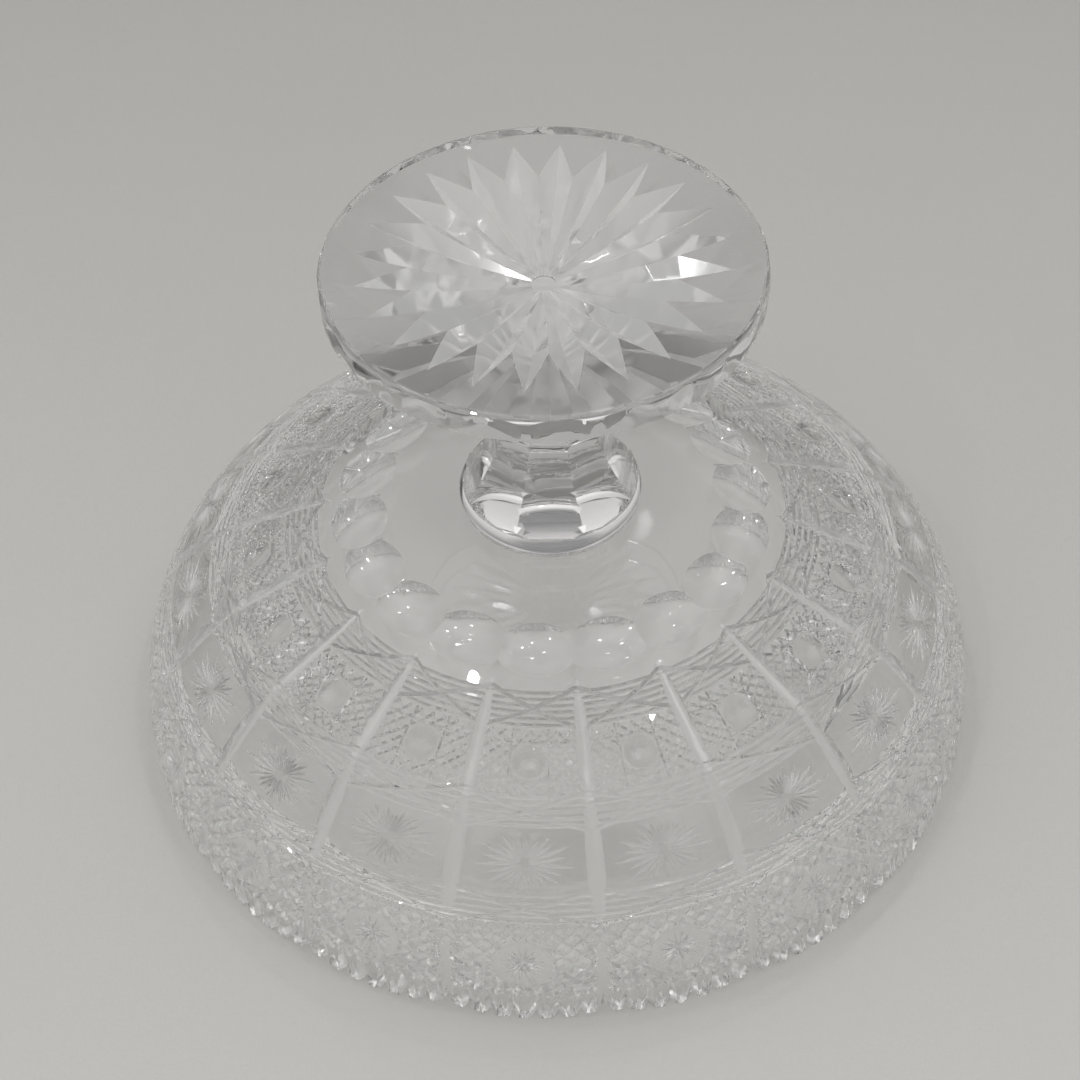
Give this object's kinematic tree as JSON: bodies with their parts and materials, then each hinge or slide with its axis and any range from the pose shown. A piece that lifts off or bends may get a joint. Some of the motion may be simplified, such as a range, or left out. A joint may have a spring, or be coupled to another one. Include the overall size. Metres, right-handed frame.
{
  "type": "punch bowl",
  "caption": "Footed round bowl in clear hand-cut glass with a toothed rim, cut panels and a rayed foot, standing mouth down on its rim.",
  "frame": {"origin": "centre of the rim's circle, on the surface that the rim's teeth touch. The bowl is stored upside down, mouth down on its toothed rim, with the foot at the top. For use it is turned half a turn about X, so that it stands on foot_face.", "axes": "+Z along the bowl's axis, from the mouth to the foot, so +Z is down when the bowl is in use. A panel's middle is on +X and a flute between two panels is on -Y."},
  "size_m": [0.305, 0.3048, 0.201],
  "materials": {
    "bowl_glass": "clear lead crystal, wheel cut and polished",
    "stem_glass": "clear lead crystal, cut in flats and polished",
    "foot_glass": "clear lead crystal, polished, with a cut star"
  },
  "bodies": {
    "root": {"bowl": "bowl_glass", "collar": "stem_glass", "stem": "stem_glass", "foot": "foot_glass"}
  },
  "joints": []
}
